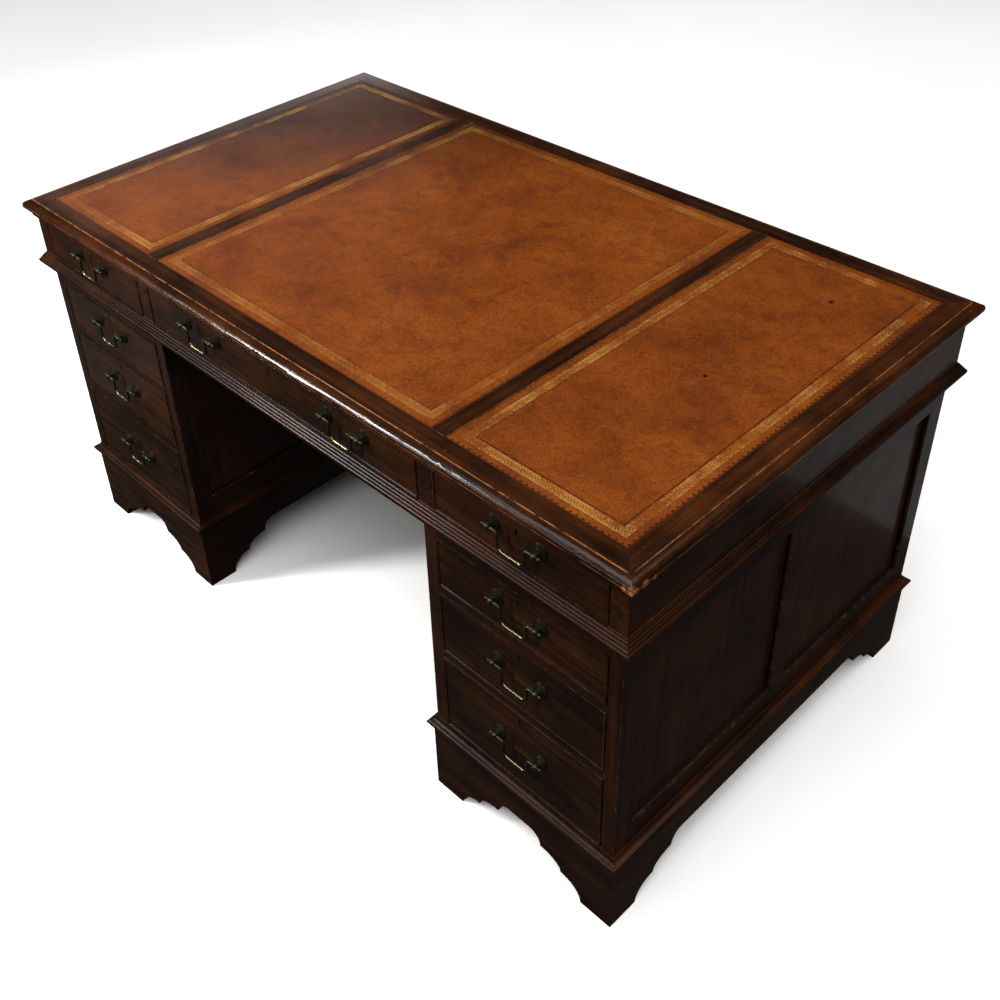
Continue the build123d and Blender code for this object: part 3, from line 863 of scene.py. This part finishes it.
def lay_grain(mesh, node, upright=False):
    """Writes each point's place in its own board, X along the grain, and a tone for each board."""
    board = mesh.faces.layers.int["board"]
    grain = mesh.verts.layers.float_vector.new("grain")
    tone = mesh.faces.layers.float.new("tone")
    boards = {}
    for face in mesh.faces:
        boards.setdefault(face[board], []).append(face)
    for number, faces in boards.items():
        draw = random.Random(f"{node} {number}")
        verts = {vert for face in faces for vert in face.verts}
        low = Vector([min(vert.co[axis] for vert in verts) for axis in range(3)])
        high = Vector([max(vert.co[axis] for vert in verts) for axis in range(3)])
        lengths = high - low
        longest = 2 if upright else max(range(3), key=lambda axis: lengths[axis])
        across = [axis for axis in range(3) if axis != longest]
        shift = Vector([draw.uniform(0, FIGURE_LENGTH) for _ in range(3)])
        shade = draw.random()
        for vert in verts:
            near = vert.co - low
            vert[grain] = Vector((near[longest], near[across[0]], near[across[1]])) + shift
        for face in faces:
            face[tone] = shade


def mark_mouldings(mesh):
    """Marks how strongly knocks show: fully, but on level faces only faintly."""
    moulded = mesh.faces.layers.float.new("moulded")
    for face in mesh.faces:
        face[moulded] = 1.0 if abs(face.normal.z) < LEVEL else FLAT_DENTS


def shade_smooth(mesh):
    """Smooth faces that break at corners."""
    for face in mesh.faces:
        face.smooth = True
    for edge in mesh.edges:
        edge.smooth = edge.is_manifold and edge.calc_face_angle(0) < SMOOTH_ANGLE


def finish_piece(name, mesh, materials, body, slot, *stands_for):
    """Makes the piece from its bmesh; it rides on body, and stands for CAD nodes if any are named."""
    shade_smooth(mesh)
    data = bpy.data.meshes.new(name)
    mesh.to_mesh(data)
    mesh.free()
    for material in materials:
        data.materials.append(material)
    made = bpy.data.objects.new(name, data)
    bpy.context.scene.collection.objects.link(made)
    weighted = made.modifiers.new("shading", "WEIGHTED_NORMAL")
    weighted.keep_sharp = True
    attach(made, body)
    if stands_for:
        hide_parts(*stands_for)
    return made


def wooden_piece(node, materials, width, slot="mahogany", upright=False, choose=None):
    """A CAD node's boards with rubbed arrises and grain; choose gives a board face's material number."""
    mesh = boards_of(node)
    soften_arrises(mesh, width)
    lay_grain(mesh, node, upright)
    mark_mouldings(mesh)
    if choose:
        choose(mesh)
    else:
        for face in mesh.faces:
            face.material_index = 0
    finish_piece(f"{node}_wood", mesh, materials, BODY_OF[node], slot, node)


def show_wood_in_front(front_y):
    """Boards that reach the front plane are show wood, material 0, and the others are material 1."""

    def choose(mesh):
        board = mesh.faces.layers.int["board"]
        reach = {}
        for face in mesh.faces:
            nearest = min(vert.co.y for vert in face.verts)
            reach[face[board]] = min(nearest, reach.get(face[board], 1e9))
        for face in mesh.faces:
            face.material_index = 0 if reach[face[board]] < front_y + SHOW_DEPTH else 1

    return choose


def paint_shade_in_reveals(mesh):
    """The edges that face into a frame's panel openings are material 1, painted shade for the dark of the
    reveals, the rest material 0.
    """
    low_y = min(vert.co.y for vert in mesh.verts) + REVEAL_CLEAR
    high_y = max(vert.co.y for vert in mesh.verts) - REVEAL_CLEAR
    for face in mesh.faces:
        inside = low_y < face.calc_center_median().y < high_y
        face.material_index = 1 if inside and abs(face.normal.x) < FACES_OUT else 0


def hide(node, material):
    """One inset hide: a rolled edge, a sunk gold band, a blind line and a gently uneven field."""
    low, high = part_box(node)
    size = high - low
    mesh = bmesh.new()
    centre = (low + high) / 2
    middle = Vector((centre.x, centre.y, high.z))
    tooling = mesh.loops.layers.uv.new("tooling")
    leaf = mesh.faces.layers.float.new("leaf")
    toothed = mesh.faces.layers.float.new("toothed")
    bmesh.ops.create_grid(mesh, x_segments=1, y_segments=1, size=0.5)
    bmesh.ops.scale(mesh, vec=(size.x, size.y, 1), verts=mesh.verts)
    field = list(mesh.faces)[0]
    rings = [
        (HIDE_ROLL, 0.0),
        (BAND_OUTER - HIDE_ROLL - TOOL_SLOPE, 0.0),
        (TOOL_SLOPE, -BAND_DEPTH),
        (BAND_INNER - BAND_OUTER, 0.0),
        (TOOL_SLOPE, BAND_DEPTH),
        (BLIND_LINE - BAND_INNER - 2 * TOOL_SLOPE, 0.0),
        (TOOL_SLOPE, -LINE_DEPTH),
        (TOOL_SLOPE, LINE_DEPTH),
        (FIELD_EDGE - BLIND_LINE - TOOL_SLOPE, 0.0),
    ]
    for width, rise in rings:
        bmesh.ops.inset_region(
            mesh, faces=[field], thickness=width, depth=rise, use_even_offset=True, use_boundary=True
        )
    for face in mesh.faces:
        face[leaf] = LEAF_LEFT[node]
        at = face.calc_center_median()
        beside = size.x / 2 - abs(at.x) < size.y / 2 - abs(at.y)
        handy = at.x > 0 if beside else at.y < 0
        face[toothed] = TEETH_LEFT[node] if handy else FAR_TEETH * TEETH_LEFT[node]
        for loop in face.loops:
            x, y = loop.vert.co.x, loop.vert.co.y
            inward = size.x / 2 - abs(x) if beside else size.y / 2 - abs(y)
            loop[tooling].uv = (FAR_FROM_EDGE, FAR_FROM_EDGE) if face == field else (
                y if beside else x, inward
            )
    rim = [edge for edge in mesh.edges if edge.is_boundary]
    cuts = round(max(size.x, size.y) / FIELD_CELL)
    bmesh.ops.subdivide_edges(mesh, edges=list(field.edges), cuts=cuts, use_grid_fill=True)
    for vert in mesh.verts:
        deep = min(size.x / 2 - abs(vert.co.x), size.y / 2 - abs(vert.co.y))
        if deep > FIELD_EDGE + TOOL_SLOPE:
            vert.co.z += FIELD_SWELL * (noise.noise((vert.co + centre) * per_mm(SWELL_ACROSS)) - 0.5)
    for edge in rim:
        for vert in edge.verts:
            vert.co.z = -HIDE_ROLL / 2
    walls = bmesh.ops.extrude_edge_only(mesh, edges=rim)["geom"]
    foot = [vert for vert in walls if isinstance(vert, bmesh.types.BMVert)]
    for vert in foot:
        vert.co.z = -size.z
    under = [edge for edge in walls if isinstance(edge, bmesh.types.BMEdge) and edge.is_boundary]
    bmesh.ops.contextual_create(mesh, geom=under)
    bmesh.ops.translate(mesh, vec=middle, verts=mesh.verts)
    bmesh.ops.recalc_face_normals(mesh, faces=mesh.faces)
    made = finish_piece(f"{node}_hide", mesh, [material], BODY_OF[node], "leather", node)


def brass_piece(node, material):
    """A CAD brass node, welded and smooth; a bail's low bar is marked as handled."""
    low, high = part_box(node)
    mesh = boards_of(node)
    handled = mesh.verts.layers.float.new("handled")
    if "bail" in node:
        drop = high.z - low.z
        for vert in mesh.verts:
            deep = (high.z - vert.co.z) / drop
            vert[handled] = max(0.0, min(1.0, (deep - HANDLED_FROM) / HANDLED_OVER))
    finish_piece(f"{node}_brass", mesh, [material], BODY_OF[node], "brass", node)


# ------------------------------------------------------------------ build
# Show wood: deep red brown under old shellac, near black where it builds up
polished = mahogany("french_polished_mahogany", "100602", "200E05", "361A08", "6E3F1A", flame=0.06)
# The top's borders: shinier from the hand, knocked, bare at the front right corner, rubbed pale on the
# arrises as wear and painted highlight, and with painted highlights along the fillet and lip of the moulding
worn_top = mahogany(
    "worn_polished_mahogany", "160903", "2B1407", "42200A", "A0683A", wear=0.9, dents=0.25, polish=0.16,
    gloss=0.18, flame=0.08, raw=RAW_CORNER
)
# Panels and drawer fronts: the plainest and the most figured boards
panel_wood = mahogany("quartered_panel_mahogany", "1A0A03", "2A1306", "3A1B08", "6E3F1A", flame=0.05)
drawer_wood = mahogany(
    "figured_drawer_mahogany", "110703", "1E0E05", "341907", "6E3F1A", polish=0.2, flame=0.08
)
# Waist and base mouldings: dulled by wax, with reddish rubbed edges
moulding_wood = mahogany(
    "waxed_moulding_mahogany", "100602", "200E05", "361A08", "6A3E20", polish=0.30, gloss=0.09, flame=0.05
)
# Reveals round the side panels: painted shade, a near-black duller copy of the polished mahogany where the
# reveals lie in shadow
recess = mahogany("painted_shade_reveal_mahogany", "080402", "100703", "1C0D05", "241206", polish=0.35, gloss=0.12)
# Unseen wood: oak in the drawers, browner pine in the carcase
lining = planed_wood("planed_oak_lining", "8C6238", "6B4524", "4A321C")
rough = planed_wood("planed_pine_carcase_wood", "7A5330", "5E3C20", "3A2817")
leather = tooled_hide("gold_tooled_hide")
# Bails rubbed dull gold by the hand, and the green-black plates and posts behind them
bail_brass = aged_brass("handled_cast_brass", "6C6648", "3C3A28", "151A16", 0.75)
fitting_brass = aged_brass("aged_cast_brass", "6F6742", "3A3622", "12150F", 0.85)

wooden_piece("top_core_board", [rough], 0.3 * MM, "secondary_wood")
wooden_piece("top_borders", [worn_top], 0.7 * MM)
wooden_piece("top_cross_strips", [worn_top], 0.3 * MM)
for side in ("left", "centre", "right"):
    hide(f"leather_{side}", leather)
wooden_piece("frieze_carcass", [polished], 0.8 * MM)
wooden_piece("frieze_floor", [rough], 0.5 * MM, "secondary_wood")
wooden_piece("waist_moulding", [moulding_wood], 0.4 * MM)
front_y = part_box("left_pedestal_side_frames")[0].y
for side in ("left", "right"):
    wooden_piece(f"{side}_pedestal_side_frames", [polished, recess], 0.8 * MM, choose=paint_shade_in_reveals)
    wooden_piece(f"{side}_pedestal_side_panels", [panel_wood], 0.4 * MM, upright=True)
    wooden_piece(f"{side}_pedestal_back", [polished], 0.8 * MM)
    wooden_piece(
        f"{side}_pedestal_rails_and_runners", [polished, rough], 0.6 * MM, choose=show_wood_in_front(front_y)
    )
    wooden_piece(f"{side}_pedestal_boards", [rough], 0.5 * MM, "secondary_wood")
    wooden_piece(f"{side}_pedestal_base_moulding", [moulding_wood], 0.4 * MM)
    wooden_piece(f"{side}_pedestal_plinth", [polished], 0.8 * MM)
for node in sorted(NODES):
    if node.endswith("_drawer_front"):
        wooden_piece(node, [drawer_wood], 0.5 * MM)
    elif node.endswith("_drawer_box"):
        wooden_piece(node, [lining], 0.6 * MM, "drawer_lining")
    elif node.endswith("_fittings"):
        brass_piece(node, fitting_brass)
    elif "bail" in node:
        brass_piece(node, bail_brass)


# ------------------------------------------------------------------ stage
def studio():
    """Pale floor, a dim room and soft boxes."""
    mesh = bmesh.new()
    bmesh.ops.create_grid(mesh, x_segments=1, y_segments=1, size=FLOOR_HALF)
    data = bpy.data.meshes.new("studio_floor")
    mesh.to_mesh(data)
    mesh.free()
    data.materials.append(painted_floor("matt_floor_paint"))
    floor = bpy.data.objects.new("studio_floor", data)
    floor.visible_glossy = False
    floor.visible_diffuse = False
    bpy.context.scene.collection.objects.link(floor)

    # A pale backdrop behind everything, round a room that is otherwise dim
    world = bpy.data.worlds.new("studio_room")
    world.use_nodes = True
    tree = world.node_tree
    seen = add(tree, "ShaderNodeLightPath", out="Is Camera Ray")
    room = add(
        tree,
        "ShaderNodeMix",
        {"data_type": "RGBA"},
        {0: seen, 6: grey(ROOM_GLOW), 7: colour("F1F1F0")},
        out=2,
    )
    tree.links.new(room, tree.nodes["Background"].inputs["Color"])
    bpy.context.scene.world = world

    for name, place, aim, width, height, power in SOFT_BOXES:
        lamp = bpy.data.lights.new(name, "AREA")
        lamp.shape, lamp.size, lamp.size_y, lamp.energy = "RECTANGLE", width, height, power
        box = bpy.data.objects.new(name, lamp)
        box.location = place
        box.rotation_mode = "QUATERNION"
        box.rotation_quaternion = (Vector(aim) - Vector(place)).to_track_quat("-Z", "Y")
        box.visible_camera = False
        bpy.context.scene.collection.objects.link(box)
    bpy.context.scene.view_settings.view_transform = "Standard"


def camera():
    """The viewpoint, from its azimuth, elevation, distance and roll about its own axis."""
    flat = math.cos(CAMERA_ELEVATION)
    back = Vector(
        (math.sin(CAMERA_AZIMUTH) * flat, -math.cos(CAMERA_AZIMUTH) * flat, math.sin(CAMERA_ELEVATION))
    )
    lens = bpy.data.cameras.new("viewpoint")
    lens.lens, lens.sensor_width = CAMERA_LENS_MM, SENSOR_MM
    lens.shift_x, lens.shift_y = CAMERA_SHIFT
    made = bpy.data.objects.new("viewpoint", lens)
    made.location = CAMERA_TARGET + CAMERA_DISTANCE * back
    made.rotation_mode = "QUATERNION"
    roll = Matrix.Rotation(CAMERA_ROLL, 3, "Z").to_quaternion()
    made.rotation_quaternion = (-back).to_track_quat("-Z", "Y") @ roll
    bpy.context.scene.collection.objects.link(made)
    bpy.context.scene.camera = made


studio()
camera()
